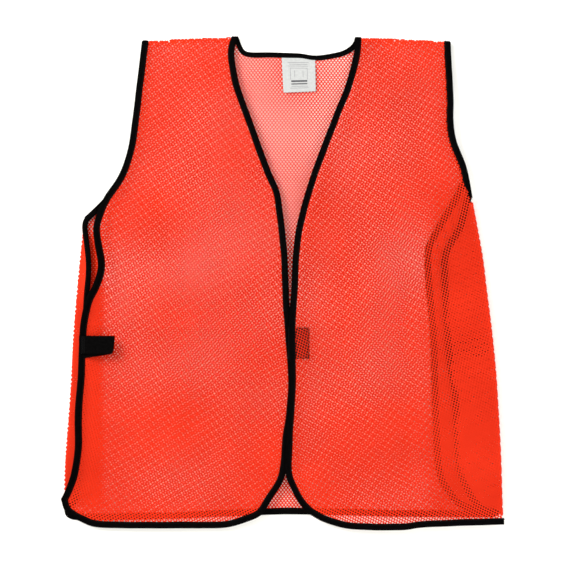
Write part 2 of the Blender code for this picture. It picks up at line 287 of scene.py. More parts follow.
def onBack(x, y):
    toRight, toLeft = across(rightFoldLine, y), across(leftFoldLine, y)
    fold, side = np.where(x < 0, toRight, toLeft), np.where(x < 0, -1, 1)
    rise = backTuckRise(np.where(x < 0, 2 * toRight - x, 0.0), y)
    placed, share = roundFold(x, fold, side, 0.0, 1.0, (lay["backTuck"] - lay["back"]) / 2)
    height = backHeight(placed, y) + share * rise
    shoulder = joined(leftShoulderLine, rightShoulderLine)
    y, height = overShoulder(placed, y, height, shoulder, lay["shoulderMiddle"])
    return np.stack([placed, y, height], -1)


def surfaceAt(onCloth, x, y):
    # the cloth's place and its normal
    step = 0.05
    place = onCloth(x, y)
    normal = np.cross(onCloth(x + step, y) - place, onCloth(x, y + step) - place)
    return place, normal / np.linalg.norm(normal, axis=-1, keepdims=True)


def meshPiece(name, points, faces, finishes, finishOf=None, uv=None):
    mesh = bpy.data.meshes.new(name)
    corners = np.concatenate([np.ravel(group) for group in faces]).astype(np.int32)
    sizes = np.concatenate([np.full(len(group), np.shape(group)[1]) for group in faces])
    starts = np.concatenate([[0], np.cumsum(sizes)[:-1]]).astype(np.int32)
    mesh.vertices.add(len(points))
    mesh.vertices.foreach_set("co", (np.asarray(points, float) * mm).astype(np.float32).ravel())
    mesh.loops.add(len(corners))
    mesh.loops.foreach_set("vertex_index", corners)
    mesh.polygons.add(len(starts))
    mesh.polygons.foreach_set("loop_start", starts)
    mesh.polygons.foreach_set("use_smooth", np.ones(len(starts), bool))
    for finish in finishes:
        mesh.materials.append(finish)
    if finishOf is not None:
        mesh.polygons.foreach_set("material_index", np.asarray(finishOf, np.int32))
    mesh.update(calc_edges=True)
    if uv is not None:
        layer = mesh.uv_layers.new(name="along")
        layer.data.foreach_set("uv", (np.asarray(uv)[corners] * mm).astype(np.float32).ravel())
    made = bpy.data.objects.new(name, mesh)
    bpy.context.scene.collection.objects.link(made)
    return made


def ringFaces(rings, around, first=0, caps=True):
    # faces of a tube of rings of points, with an end face on each end
    ring, side = np.mgrid[0:rings - 1, 0:around]
    after = (side + 1) % around
    quads = np.stack([ring * around + side, ring * around + after,
                      (ring + 1) * around + after, (ring + 1) * around + side], -1).reshape(-1, 4)
    ends = np.stack([np.arange(around)[::-1], (rings - 1) * around + np.arange(around)])
    return (quads + first, ends + first) if caps else (quads + first, ends[:0])


def gridFaces(shape, first=0):
    # four-sided faces of a grid of points
    number = np.arange(shape[0] * shape[1]).reshape(shape) + first
    return np.stack([number[:-1, :-1], number[:-1, 1:], number[1:, 1:], number[1:, :-1]], -1).reshape(-1, 4)


def leftNormals(path):
    steps = np.diff(path, axis=0)
    steps /= np.linalg.norm(steps, axis=1, keepdims=True)
    mean = np.vstack([steps[:1], steps[:-1] + steps[1:], steps[-1:]])
    mean /= np.linalg.norm(mean, axis=1, keepdims=True)
    return np.stack([-mean[:, 1], mean[:, 0]], 1)


def newFinish(name, color, roughness, specular=0.3, sheen=0.0):
    finish = bpy.data.materials.new(name)
    finish.use_nodes = True
    shader = finish.node_tree.nodes["Principled BSDF"]
    shader.inputs["Base Color"].default_value = (*color, 1)
    shader.inputs["Roughness"].default_value = roughness
    shader.inputs["Specular IOR Level"].default_value = specular
    shader.inputs["Sheen Weight"].default_value = sheen
    shader.inputs["Sheen Roughness"].default_value = 0.5
    return finish, finish.node_tree, shader


def addNode(tree, kind, settings=(), **inputs):
    node = tree.nodes.new(kind)
    for key, value in dict(settings).items():
        setattr(node, key, value)
    for key, value in inputs.items():
        socket = node.inputs[key.replace("_", " ")]
        if isinstance(value, bpy.types.NodeSocket):
            tree.links.new(value, socket)
        else:
            socket.default_value = value
    return node


def addMath(tree, operation, *values):
    node = addNode(tree, "ShaderNodeMath", {"operation": operation})
    for slot, value in enumerate(values):
        if isinstance(value, bpy.types.NodeSocket):
            tree.links.new(value, node.inputs[slot])
        else:
            node.inputs[slot].default_value = value
    return node.outputs[0]


def varyColor(tree, shader, driver, dark, light):
    ramp = addNode(tree, "ShaderNodeValToRGB")
    ramp.color_ramp.elements[0].color = (*dark, 1)
    ramp.color_ramp.elements[1].color = (*light, 1)
    ramp.color_ramp.elements[0].position, ramp.color_ramp.elements[1].position = 0.3, 0.7
    tree.links.new(driver, ramp.inputs["Fac"])
    tree.links.new(ramp.outputs["Color"], shader.inputs["Base Color"])


def addBump(tree, shader, height, strength, depth):
    bump = addNode(tree, "ShaderNodeBump", Strength=strength, Distance=depth, Height=height)
    tree.links.new(bump.outputs["Normal"], shader.inputs["Normal"])


netLook = {
    "dark": (0.55, 0.0185, 0.0038),
    "light": (0.67, 0.028, 0.0068),
    "paintedGlow": (1.0, 0.02, 0.003),  # painted glow: the dye is really fluorescent, but this constant emission also glows in shade and keeps the lower layers bright red
    "paintedGlowStrength": 0.04,
    "roughness": 0.75,
    "gloss": 0.07,
    "yarnGrain": 1500.0,
    "toneGrain": 14.0,
}


def netFinish(look):
    # knitted polyester net in a hot orange
    finish, tree, shader = newFinish("orangeNet", look["light"], look["roughness"], look["gloss"])
    place = addNode(tree, "ShaderNodeTexCoord").outputs["Object"]
    yarn = addNode(tree, "ShaderNodeTexNoise", Vector=place, Scale=look["yarnGrain"],
                   Detail=3.0).outputs["Fac"]
    tone = addNode(tree, "ShaderNodeTexNoise", Vector=place, Scale=look["toneGrain"],
                   Detail=3.0, Roughness=0.6).outputs["Fac"]
    halfTone = addMath(tree, "MULTIPLY", tone, 0.5)
    varyColor(tree, shader, addMath(tree, "MULTIPLY_ADD", yarn, 0.5, halfTone), look["dark"], look["light"])
    addBump(tree, shader, yarn, 0.5, 0.0003)
    # painted glow: a weak constant emission in the net's red, the same in light and in shade
    shader.inputs["Emission Color"].default_value = (*look["paintedGlow"], 1)
    shader.inputs["Emission Strength"].default_value = look["paintedGlowStrength"]
    return finish


def wovenFinish(name, color, light, roughness, pitch, depth, gloss, turned=0.0):
    # a close weave that follows the strip: two sets of ridges across each other
    finish, tree, shader = newFinish(name, color, roughness, gloss)
    place = addNode(tree, "ShaderNodeTexCoord").outputs["UV"]
    turn = addNode(tree, "ShaderNodeMapping", Vector=place, Rotation=(0, 0, turned))
    ridges = [addNode(tree, "ShaderNodeTexWave", {"bands_direction": way}, Vector=turn.outputs[0],
                      Scale=0.314 / (pitch * mm), Distortion=0.6, Detail=1.0).outputs["Fac"] for way in "XY"]
    lint = addNode(tree, "ShaderNodeTexNoise", Vector=place, Scale=320.0, Detail=4.0).outputs["Fac"]
    varyColor(tree, shader, lint, color, light)
    addBump(tree, shader, addMath(tree, "ADD", addMath(tree, "MULTIPLY", *ridges), lint), 0.6, depth)
    return finish


def printFinish(name, color):
    finish, tree, shader = newFinish(name, color, 0.6)
    place = addNode(tree, "ShaderNodeTexCoord").outputs["Object"]
    speck = addNode(tree, "ShaderNodeTexNoise", Vector=place, Scale=2200.0, Detail=2.0)
    varyColor(tree, shader, speck.outputs["Fac"], color, tuple(min(1, 1.35 * c) for c in color))
    return finish


# pitch of the weave in millimetres, and depth of its relief in metres
wovenLooks = {
    "blackTape": {"color": (0.0007, 0.0006, 0.0006), "light": (0.0021, 0.0018, 0.0019), "roughness": 0.85,
                  "pitch": 0.7, "depth": 0.00012, "gloss": 0.009, "turned": 0.78},
    "blackThread": {"color": (0.002, 0.002, 0.002), "light": (0.005, 0.005, 0.005), "roughness": 0.5,
                    "pitch": 0.35, "depth": 0.00006, "gloss": 0.10},
    "blackElastic": {"color": (0.0007, 0.0006, 0.0006), "light": (0.0021, 0.0019, 0.0019), "roughness": 0.75,
                     "pitch": 1.1, "depth": 0.0002, "gloss": 0.011},
    "fastenerTape": {"color": (0.002, 0.002, 0.002), "light": (0.006, 0.006, 0.006), "roughness": 0.9,
                     "pitch": 0.9, "depth": 0.0002, "gloss": 0.05},
    "labelCloth": {"color": (0.38, 0.385, 0.375), "light": (0.44, 0.445, 0.435), "roughness": 0.6,
                   "pitch": 0.35, "depth": 0.00004, "gloss": 0.1},
}
net = netFinish(netLook)
tape, thread, elastic, fastener, labelCloth = [wovenFinish(name, **look) for name, look in wovenLooks.items()]
print("finishes ready")

# the net: rows of holes, and how wide they stand

netCell = {
    "across": 4.7,  # from hole to hole in a row
    "along": 6.0,  # two rows
    "openShare": 0.38,  # share of the cloth that is hole
    "tall": 1.12,  # how much taller a hole is than its cell's shape
    "edgeCover": 2.2,  # how far inside the binding's edge the net ends
    "warp": 0.8,  # how far the rows wander
    "warpLength": 170,
}
holeCorners = np.array([(0.5, 1 / 6), (0, 1 / 3), (-0.5, 1 / 6),
                        (-0.5, -1 / 6), (0, -1 / 3), (0.5, -1 / 6)])
holeCorners = holeCorners * (netCell["across"], netCell["along"]) * math.sqrt(netCell["openShare"])
holeCorners = holeCorners * (1 / netCell["tall"], netCell["tall"])


def knitNet(name, low, high, turn, gauge, isCloth, onCloth, openAt, seed, part=(-400, 500)):
    # rows of six-sided holes, with a strand between each two and a knot between each three
    # gauge: how wide its cells are beside the usual one
    # part: the stretch in x that the piece has of its cloth
    cellWidth, rowGap = netCell["across"] * gauge, netCell["along"] / 2 * gauge
    width, height = np.subtract(high, low)
    leanX, leanY = abs(math.cos(turn)), abs(math.sin(turn))
    columns = int((width * leanX + height * leanY) / cellWidth) + 8
    rows = int((width * leanY + height * leanX) / rowGap) + 8
    row, column = np.mgrid[0:rows, 0:columns]
    x = (column + 0.5 * (row % 2) - columns / 2) * cellWidth
    y = (row - rows / 2) * rowGap
    spin = np.array([(math.cos(turn), math.sin(turn)), (-math.sin(turn), math.cos(turn))])
    centres = np.stack([x, y], -1) @ spin + np.add(low, high) / 2
    wander = [softWaves(centres[..., 0], centres[..., 1], seed + k, netCell["warpLength"], netCell["warp"])
              for k in (0, 1)]
    centres = centres + np.stack(wander, -1)
    kept = isCloth(centres[..., 0], centres[..., 1])
    wide = openAt(centres[..., 0], centres[..., 1])
    flat = centres[:, :, None, :] + gauge * wide[:, :, None, None] * (holeCorners @ spin)
    flat = flat.reshape(-1, 2)

    row, column = row[:-1, 1:-1], column[:-1, 1:-1]
    shift = row % 2
    hole = {
        "own": (row, column),
        "right": (row, column + 1),
        "upRight": (row + 1, column + shift),
        "upLeft": (row + 1, column + shift - 1),
    }
    there = {key: kept[at] for key, at in hole.items()}
    inPart = (part[0] <= centres[..., 0]) & (centres[..., 0] < part[1])
    corner = {key: (at[0] * columns + at[1]) * 6 for key, at in hole.items()}

    def facesOf(*corners):
        wanted = np.logical_and.reduce([there[key] for key, _ in corners] + [inPart[hole["own"]]])
        return np.stack([corner[key][wanted] + number for key, number in corners], -1)

    faces = [
        facesOf(("own", 5), ("right", 3), ("right", 2), ("own", 0)),
        facesOf(("own", 0), ("upRight", 4), ("upRight", 3), ("own", 1)),
        facesOf(("own", 1), ("upLeft", 5), ("upLeft", 4), ("own", 2)),
        facesOf(("own", 0), ("right", 2), ("upRight", 4)),
        facesOf(("own", 1), ("upRight", 3), ("upLeft", 5)),
    ]
    used, renamed = np.unique(np.concatenate([group.ravel() for group in faces]), return_inverse=True)
    sizes = [group.size for group in faces]
    parts = np.split(renamed.ravel(), np.cumsum(sizes)[:-1])
    faces = [part.reshape(group.shape) for part, group in zip(parts, faces)]
    flat = flat[used]
    points = onCloth(flat[:, 0], flat[:, 1])
    made = meshPiece(name, points, faces, [net])
    holes = int((kept & inPart).sum())
    print(name, "holes", holes, "triangles", sum(len(group) * (group.shape[1] - 2) for group in faces))
    # the net area is counted from the holes that were made, and not from the cut
    return made, holes * cellWidth * rowGap * mm * mm * (1 - netCell["openShare"])


def isRightFront(x, y):
    outline = np.vstack([rightShoulderLine, rightFrontBound])
    return insideOf(outline, x, y) & (distanceTo(rightFrontBound, x, y) > netCell["edgeCover"])


leftFrontOutline = np.vstack([leftEdgeHem, leftFoldLine, leftArmholeLine, leftShoulderLine])
leftFrontTurnLine, leftBackTurnLine = smoothCurve(leftFrontTurn), smoothCurve(leftBackTurn)
rightBackTurnLine = smoothCurve(rightBackTurn)


def isTurnedIn(x, y, turnLine, fold, side):
    # a point past the fold lies back over the cloth, as far as the bound edge
    back = 2 * fold - x
    low, high = turnLine[:, 1].min(), turnLine[:, 1].max()
    reached = (back - across(turnLine, y)) * side > 0
    clear = distanceTo(turnLine, back, y) > netCell["edgeCover"]
    clear &= insideOf(backOutline, back, y) & ((y < 113) | (distanceTo(leftArmholeLine, back, y) > 3.5))
    return ((x - fold) * side > 0) & reached & clear & (y > low) & (y < high)


def isLeftFront(x, y):
    fold = across(leftFoldLine, y)
    bound = np.minimum(distanceTo(leftEdgeHem, x, y), distanceTo(leftArmholeLine, x, y))
    flat = insideOf(leftFrontOutline, x, y) & (bound > netCell["edgeCover"])
    near = (np.abs(x - fold) < 4) & (y < 112) & (y > -322)  # round the fold itself
    return flat | isTurnedIn(x, y, leftFrontTurnLine, fold, 1) | near


backArmholeLine = smoothCurve(rightArmhole + backArmholeEnd[1:])
backHemLine, backNeckLine = smoothCurve(backHem), smoothCurve(backNeck)
backOutline = np.vstack([rightShoulderLine, backArmholeLine, rightFoldLine, backHemLine,
                         leftFoldLine, leftArmholeLine, leftShoulderLine, backNeckLine])


def isBack(x, y):
    bound = np.minimum.reduce([distanceTo(line, x, y) for line in
                               (backArmholeLine, backHemLine, leftArmholeLine, backNeckLine)])
    flat = insideOf(backOutline, x, y) & (bound > netCell["edgeCover"])
    fold = np.where(x < 0, across(rightFoldLine, y), across(leftFoldLine, y))
    near = (np.abs(x - fold) < 4) & (y < 84) & (y > -312)
    turned = isTurnedIn(x, y, leftBackTurnLine, fold, 1) & (x > 0)
    return flat | near | turned | (isTurnedIn(x, y, rightBackTurnLine, fold, -1) & (x < 0))


def nearLine(path, x, y, reach):
    return np.exp(-((distanceTo(path, x, y) / reach) ** 2))


openness = {  # how wide the holes stand, beside the usual width
    "back": 1.0,
    "front": 1.04,
    "waves": 0.05,
    "closedForShade": 0.72,  # painted shade: how much the back's holes close beside its open side, a denser sheet that stands in for the shade falling there
    "backGusset": 0.22,  # and inside the turned-in left side
    "frontGusset": 0.25,
    "openSideShade": 0.70,  # painted shade: how much the right front's holes close along its open side, a denser sheet standing in for the shadow beside its raised edge
    "fold": 0.4,  # and any holes at a fold or a shoulder
    "overPatch": 0.24,  # how much the holes are stretched over the loop patch
}


def closedAt(lines, x, y):
    # the holes close at each of these lines: a line and its reach
    return 1 - openness["fold"] * np.clip(sum(nearLine(line, x, y, reach) for line, reach in lines), 0, 1)


def backOpenness(x, y):
    wide = openness["back"] + softWaves(x, y, 21, 150, openness["waves"])
    # painted shade: the back's holes close beside the right open side, where shade falls
    closedForShade = smoothStep(-x, 246, 262) * smoothStep(y, -330, -290) * (1 - smoothStep(y, 52, 78))
    gusset = smoothStep(x, 196, 225) * (1 - smoothStep(y, 100, 150))
    wide = wide * (1 - openness["closedForShade"] * closedForShade) * (1 - openness["backGusset"] * gusset)
    return wide * closedAt([(leftFoldLine, 4), (rightFoldLine, 4), (leftShoulderLine, 5),
                            (rightShoulderLine, 5)], x, y)


def rightOpenness(x, y):
    wide = openness["front"] + softWaves(x, y, 22, 120, openness["waves"])
    # the holes open a little about the waist and close towards the hem, so the lower part reads darker
    wide = wide + 0.07 * np.exp(-(((y + 20) / 90) ** 2)) - 0.13 * smoothStep(-y, 110, 200)
    # painted shade: the holes close along the open side, where the raised edge's shadow falls
    along = smoothStep(-y, 0, 45) * (1 - smoothStep(-y, 280, 310))
    wide = wide * (1 - openness["openSideShade"] * along * nearLine(rightSideLine, x, y, 19))
    return wide * closedAt([(rightShoulderLine, 5)], x, y)


def leftOpenness(x, y):
    wide = openness["front"] + softWaves(x, y, 23, 130, openness["waves"])
    # the holes open a little about the waist and close towards the hem, so the lower part reads darker
    wide = wide + 0.05 * np.exp(-(((y - 20) / 90) ** 2)) - 0.12 * smoothStep(-y, 110, 200)
    overPatch = smoothStep(x, 14, 18) * (1 - smoothStep(x, 36, 40)) * (np.abs(y + 84) < 23)
    fold = across(leftFoldLine, y)
    gusset = smoothStep(x, fold - 3, fold + 3) * (1 - smoothStep(y, 100, 150))
    wide = wide * (1 + openness["overPatch"] * overPatch) * (1 - openness["frontGusset"] * gusset)
    return wide * closedAt([(leftFoldLine, 4), (leftShoulderLine, 5)], x, y)


# the back is one cut; it is built in two pieces that share a row of knots
backMiddle = 21.0
backNet = {"low": (-345, -345), "high": (420, 345), "turn": 0.004, "gauge": 1.0, "seed": 31,
           "isCloth": isBack, "onCloth": onBack, "openAt": backOpenness}
clothPieces = {
    "backRightCloth": {**backNet, "part": (-400, backMiddle)},
    "backLeftCloth": {**backNet, "part": (backMiddle, 500)},
    "rightFrontCloth": {"low": (-312, -345), "high": (20, 345), "turn": -0.42, "gauge": 0.96, "seed": 33,
                        "isCloth": isRightFront, "onCloth": onRightFront, "openAt": rightOpenness},
    "leftFrontCloth": {"low": (0, -345), "high": (400, 345), "turn": 0.45, "gauge": 0.96, "seed": 35,
                       "isCloth": isLeftFront, "onCloth": onLeftFront, "openAt": leftOpenness},
}
cloths, netAreas = {}, {}
for name, cut in clothPieces.items():
    cloths[name], netAreas[name] = knitNet(name, **cut)
print("net knitted")


def goesWith(piece, front=None, body="vest_body"):
    # a piece that crosses a turn-back line has its place baked into its points, and any other rides on one
    # body
    if front is None:
        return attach(piece, body)
    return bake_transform(piece)


goesWith(cloths["backRightCloth"])
goesWith(cloths["backLeftCloth"])
goesWith(cloths["rightFrontCloth"], "right_front")
goesWith(cloths["leftFrontCloth"], "left_front")
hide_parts("back_panel", "right_back_tuck", "right_shoulder_fold")
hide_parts("back_panel", "left_back_tuck", "left_shoulder_fold")
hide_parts("right_front_side", "right_front_flap")
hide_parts("left_front_side", "left_front_flap", "left_front_tuck")

# sewing thread

stitch = {"length": 2.3, "pitch": 3.0, "radius": 0.24, "sides": 5, "sink": 0.22}


def stitchRun(name, places, alongs, ups, finish=thread, length=stitch["length"]):
    # one small thread for each place, sunk into the cloth at both ends
    sides = stitch["sides"]
    angles = np.arange(sides) * 2 * math.pi / sides
    run = np.array([-0.5, -0.32, 0.32, 0.5]) * length
    thick = np.array([0.45, 1.0, 1.0, 0.45]) * stitch["radius"]
    rise = np.array([-stitch["sink"], 0.05, 0.05, -stitch["sink"]])
    alongs = alongs / np.linalg.norm(alongs, axis=1, keepdims=True)
    beside = np.cross(ups, alongs)
    beside /= np.linalg.norm(beside, axis=1, keepdims=True)
    count = len(places)
    points = (places[:, None, None] + run[None, :, None, None] * alongs[:, None, None]
              + (rise[:, None] + thick[:, None] * np.sin(angles))[None, :, :, None] * ups[:, None, None]
              + (thick[:, None] * np.cos(angles))[None, :, :, None] * beside[:, None, None])
    quads, ends = ringFaces(4, sides)
    first = (np.arange(count) * 4 * sides)[:, None, None]
    faces = [(quads[None] + first).reshape(-1, 4), (ends[None] + first).reshape(-1, sides)]
    spread = np.stack(np.broadcast_arrays(run[:, None], angles[None] * 0.3), -1).reshape(-1, 2)
    return meshPiece(name, points.reshape(-1, 3), faces, [finish], uv=np.tile(spread, (count, 1)))


def stitchesOn(name, path, inset, onCloth, rise, bothSides=True):
    # a sewn line beside a path, on the cloth's upper side and under it
    even = evenRun(path, 1.0)
    line = evenRun(even + inset * leftNormals(even), stitch["pitch"])
    place, up = surfaceAt(onCloth, line[:, 0], line[:, 1])
    along = np.gradient(place, axis=0)
    if not bothSides:
        return stitchRun(name, place + rise * up, along, up)
    return stitchRun(name, np.vstack([place + rise * up, place - rise * up]), np.vstack([along, along]),
                     np.vstack([up, -up]))


# bindings: a tape folded over the cloth's edge and sewn down

binding = {
    "width": 8.5,
    "step": 2.6,  # between its cross-sections
    "stitchInset": 6.7,
    "stitchRise": 0.92,
    "waver": 0.18,  # how much its edges sway
    "tip": 0.25,  # share of its width left at a turned-in end
}
# across the tape, as shares of its width, and up from the cloth, in millimetres
bindingSection = np.array([(1.0, 0.28), (0.985, 0.62), (0.93, 0.86), (0.84, 0.80), (0.79, 0.70),
                           (0.74, 0.82), (0.60, 1.02), (0.42, 1.08), (0.24, 1.05), (0.10, 0.95),
                           (0.00, 0.76), (-0.06, 0.42), (-0.08, 0.0)])
bindingSection = np.vstack([bindingSection, bindingSection[-2::-1] * (1, -1)])


def sewnTape(name, path, onCloth, width, waver, taper, number):
    # taper: the length over which its start widens from a turned-in tip
    path = evenRun(path, binding["step"])
    normals = leftNormals(path)
    length = np.arange(len(path)) * binding["step"]
    sway = waver * (np.sin(length / 17 + number) + 0.6 * np.sin(length / 7.3 + 2 * number))
    puff = 1 + 0.10 * np.sin(length / 11 + number) + 0.05 * np.sin(length * 2.1)
    inner = bindingSection[None, :, 0] > 0.5
    offsets = bindingSection[None, :, 0] * width + sway[:, None] * (0.35 + 0.65 * inner)
    if taper:
        offsets = offsets * (binding["tip"] + (1 - binding["tip"]) * smoothStep(length, 0, taper))[:, None]
    flat = path[:, None, :] + offsets[:, :, None] * normals[:, None, :]
    place, up = surfaceAt(onCloth, flat[..., 0], flat[..., 1])
    points = place + (bindingSection[None, :, 1] * puff[:, None])[..., None] * up
    girth = np.linalg.norm(np.diff(bindingSection * (width, 1), axis=0), axis=1)
    girth = np.concatenate([[0], np.cumsum(girth)])
    uv = np.stack(np.broadcast_arrays(length[:, None], girth[None, :]), -1).reshape(-1, 2)
    return meshPiece(name, points.reshape(-1, 3), ringFaces(len(path), len(bindingSection)), [tape], uv=uv)


rightArmLine = smoothCurve(rightArmhole)
# at its top, this one bends round the corner of the fold and meets the armhole's binding
rightBackSidePath = smoothCurve(rightBackTurn[:-3] + [(-267.5, 32), (-270, 54), (-272.6, 72), (-272, 84),
                                                      (-266, 91), (-258, 98)])


tapes = {
    "backNeckTape": {"path": backNeckLine, "on": onBackFlat, "nodes": ["back_neck_binding"],
                     "width": 6.6, "waver": 0.45},
    "backHemTape": {"path": backHemLine, "on": onBackFlat, "nodes": ["back_hem_binding"]},
    "rightBackArmholeTape": {"path": backArmholeLine, "on": onBackFlat,
                             "nodes": ["right_back_armhole_binding"], "width": 7.4},
    "leftBackArmholeTape": {"path": leftArmholeLine[1:], "on": onBackFlat,
                            "nodes": ["left_back_armhole_binding"], "taper": 24.0},
    "rightBackSideTape": {"path": rightBackSidePath, "on": onBackTuck,
                          "nodes": ["right_back_side_binding"], "width": 7.2},
    "leftBackSideTape": {"path": leftBackTurnLine[3:-1], "on": onBackTuck,
                         "nodes": ["left_back_side_binding"]},
    "leftFrontSideTape": {"path": leftFrontTurnLine[3:-1], "on": onLeftTuck,
                          "nodes": ["left_front_side_binding"]},
    "rightFrontArmholeTape": {"path": rightArmLine, "on": onRightFront,
                              "nodes": ["right_front_armhole_binding"]},
    "rightFrontSideTape": {"path": rightSideLine, "on": onRightFront,
                           "nodes": ["right_front_side_binding"]},
    "leftFrontArmholeTape": {"path": leftArmholeLine[1:], "on": onLeftFrontFlat,
                             "nodes": ["left_front_armhole_binding"], "taper": 24.0},
    "rightFrontEdgeTape": {"path": rightHemEdge, "on": onRightFront, "front": "right_front",
                           "nodes": ["right_front_hem_binding", "right_front_edge_binding"]},
    "leftFrontEdgeTape": {"path": leftEdgeHem, "on": onLeftFrontFlat, "front": "left_front",
                          "nodes": ["left_front_hem_binding", "left_front_edge_binding"]},
}
for number, (name, cut) in enumerate(tapes.items()):
    width, nodes = cut.get("width", binding["width"]), cut["nodes"]
    made = sewnTape(name, cut["path"], cut["on"], width, cut.get("waver", binding["waver"]),
                    cut.get("taper", 0.0), number)
    inset = binding["stitchInset"] - (binding["width"] - width)
    sewn = stitchesOn(name.replace("Tape", "Stitches"), cut["path"], inset, cut["on"],
                      binding["stitchRise"])
    for piece in (made, sewn):
        goesWith(piece, cut.get("front"))
    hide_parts(*nodes)

# elastic side straps, each a band folded in half

straps = {
    "ribs": 13,
    "ribHeight": 0.16,
    "thickness": 1.3,
    "width": 25.4,
    "step": 0.7,  # between its cross-sections
    "tackIn": 4.0,  # from the sewn end to the tacks
    "tackPitch": 1.3,
    "tackGap": 3.2,  # between the two rows of tacks
    "right": {"start": -284.0, "end": -233.0, "middle": -86.3, "lean": 0.09, "roundCorner": 2.6,
              "splay": 0.16, "low": 0.0, "high": 2.8, "short": 12.0, "rise": 8.0},
    "left": {"start": 236.0, "end": 286.0, "middle": -90.3, "lean": 0.0, "roundCorner": 0.4,
             "splay": 0.0, "low": -0.9, "high": 0.9, "short": 2.0, "z": 6.4},
}


def ribbedBand(name, onBand, low, high, middle):
    # a band over a surface: ridges run along it, and its edges are rounded
    ribs, halfWidth = straps["ribs"], straps["width"] / 2
    share = np.linspace(-1, 1, ribs * 4 + 1)
    ridge = straps["ribHeight"] * np.abs(np.cos(share * ribs * math.pi / 2))
    edge = np.sqrt(np.clip(1 - np.abs(share) ** 14, 0, 1))
    top = (straps["thickness"] / 2 - straps["ribHeight"]) * edge + ridge * edge
    section = np.vstack([np.stack([share * halfWidth, top], 1),
                         np.stack([share * halfWidth, -top], 1)[-2:0:-1]])
    run = np.linspace(low, high, int((high - low) / straps["step"]) + 1)
    grid = np.broadcast_arrays(run[:, None], middle + section[None, :, 0])
    place, up = surfaceAt(onBand, *grid)
    points = place + section[None, :, 1, None] * up
    uv = np.stack(grid, -1).reshape(-1, 2)
    return meshPiece(name, points.reshape(-1, 3), ringFaces(len(run), len(section)), [elastic], uv=uv)


def foldedBand(cut):
    # a band doubled back under itself: its fold leans and has a round lower corner, and its lower leg splays
    low, high = cut["low"], cut["high"]
    radius = (high - low) / 2
    lower = cut["middle"] - straps["width"] / 2

    def onBand(x, y):
        fold = cut["end"] - cut["lean"] * (lower + straps["width"] - y)
        fold = fold - cut["roundCorner"] * np.exp(-np.clip(y - lower, 0, None) / 2.6)
        beyond = x - fold + radius
        turn = np.clip(beyond / radius, -1, 1) * math.pi / 2
        rolled = np.where(np.abs(beyond) < radius, radius * np.cos(turn), radius - np.abs(beyond))
        moved = y - cut["splay"] * np.clip(beyond, 0, None)
        return np.stack([fold - radius + rolled, moved], -1), (low + high) / 2 - radius * np.sin(turn)

    return onBand


rightBandFold, leftBandFold = foldedBand(straps["right"]), foldedBand(straps["left"])
edgeHeight = float(rightFrontHeight(np.array([-281.0]), np.array([-86.0]))[0])
innerHeight = float(rightFrontHeight(np.array([-238.0]), np.array([-86.0]))[0])


def onRightStrap(x, y):
    # it stands up off the front towards its folded end
    cut = straps["right"]
    place, height = rightBandFold(x, y)
    share = (place[..., 0] - cut["start"]) / (cut["end"] - cut["start"])
    lie = edgeHeight + 2.3 + (innerHeight + cut["rise"] - edgeHeight) * share
    return np.concatenate([place, (height + lie)[..., None]], -1)


def onLeftStrap(x, y):
    place, height = leftBandFold(x, y)
    return np.concatenate([place, (height + straps["left"]["z"])[..., None]], -1)


for name, side, onBand, body in (("rightSideStrap", "right", onRightStrap, "side_loop"),
                                 ("leftSideStrap", "left", onLeftStrap, "vest_body")):
    cut, halfWidth = straps[side], straps["width"] / 2
    band = ribbedBand(name, onBand, cut["start"], 2 * cut["end"] - cut["start"] - cut["short"], cut["middle"])
    tackY = np.arange(-halfWidth + 1.5, halfWidth - 1, straps["tackPitch"]) + cut["middle"]
    firstRow = cut["start"] + straps["tackIn"] + 0.9 * (np.arange(len(tackY)) % 2)
    secondRow = np.full(len(tackY), cut["start"] + straps["tackIn"] + straps["tackGap"])
    place, up = surfaceAt(onBand, np.concatenate([firstRow, secondRow]), np.tile(tackY, 2))
    tacks = stitchRun(name + "Tacks", place + 0.62 * up, np.tile((0.25, 1.0, 0.0), (len(place), 1)), up)
    for piece in (band, tacks):
        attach(piece, body)
    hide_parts(side + "_side_strap")
print("straps folded")

# the closure: a hook tab on the right front, under a loop patch on the left one

closure = {
    "low": -106.0,
    "high": -62.0,
    "tabReach": 36.0,  # x of the hook tab's free end
    "tabRise": 1.2,
    "tabThickness": 1.0,
    "hookStart": 19.5,
    "hookPitch": 1.7,
    "hookLength": 0.9,
    "patchStart": 17.0,
    "patchEnd": 37.0,
    "patchRise": -0.95,  # it hangs under the left front
    "patchThickness": 0.9,
    "patchGrain": 0.22,
}


def patchSlab(name, low, high, onBase, rise, thickness, finish, grain=0.0, seed=1):
    # a thin cut patch that follows a surface, with a worked top
    x, y = np.meshgrid(np.linspace(low[0], high[0], int((high[0] - low[0]) / 0.8) + 2),
                       np.linspace(low[1], high[1], int((high[1] - low[1]) / 0.8) + 2))
    base = onBase(x, y) + np.array([0, 0, rise])
    draw = np.random.RandomState(seed)
    worked = thickness / 2 + grain * draw.uniform(-1, 1, x.shape)
    tops = base + np.stack([np.zeros_like(x), np.zeros_like(x), worked], -1)
    unders = base - np.array([0, 0, thickness / 2])
    rows, columns = x.shape
    number = np.arange(rows * columns).reshape(rows, columns)
    quads = gridFaces(x.shape)
    count = rows * columns
    rim = np.concatenate([number[0, :-1], number[:-1, -1], number[-1, :0:-1], number[:0:-1, 0]])
    after = np.roll(rim, -1)
    walls = np.stack([rim + count, after + count, after, rim], -1)
    points = np.vstack([tops.reshape(-1, 3), unders.reshape(-1, 3)])
    uv = np.vstack([np.stack([x.ravel(), y.ravel()], 1)] * 2)
    return meshPiece(name, points, [quads, quads[:, ::-1] + count, walls], [finish], uv=uv)


def tabBase(x, y):
    height = rightFrontHeight(np.full(np.shape(x), 5.0), y)
    return np.stack([x, y, height + 0 * x], -1)


def patchBase(x, y):
    return np.stack([x, y, leftFrontHeight(x, y)], -1)


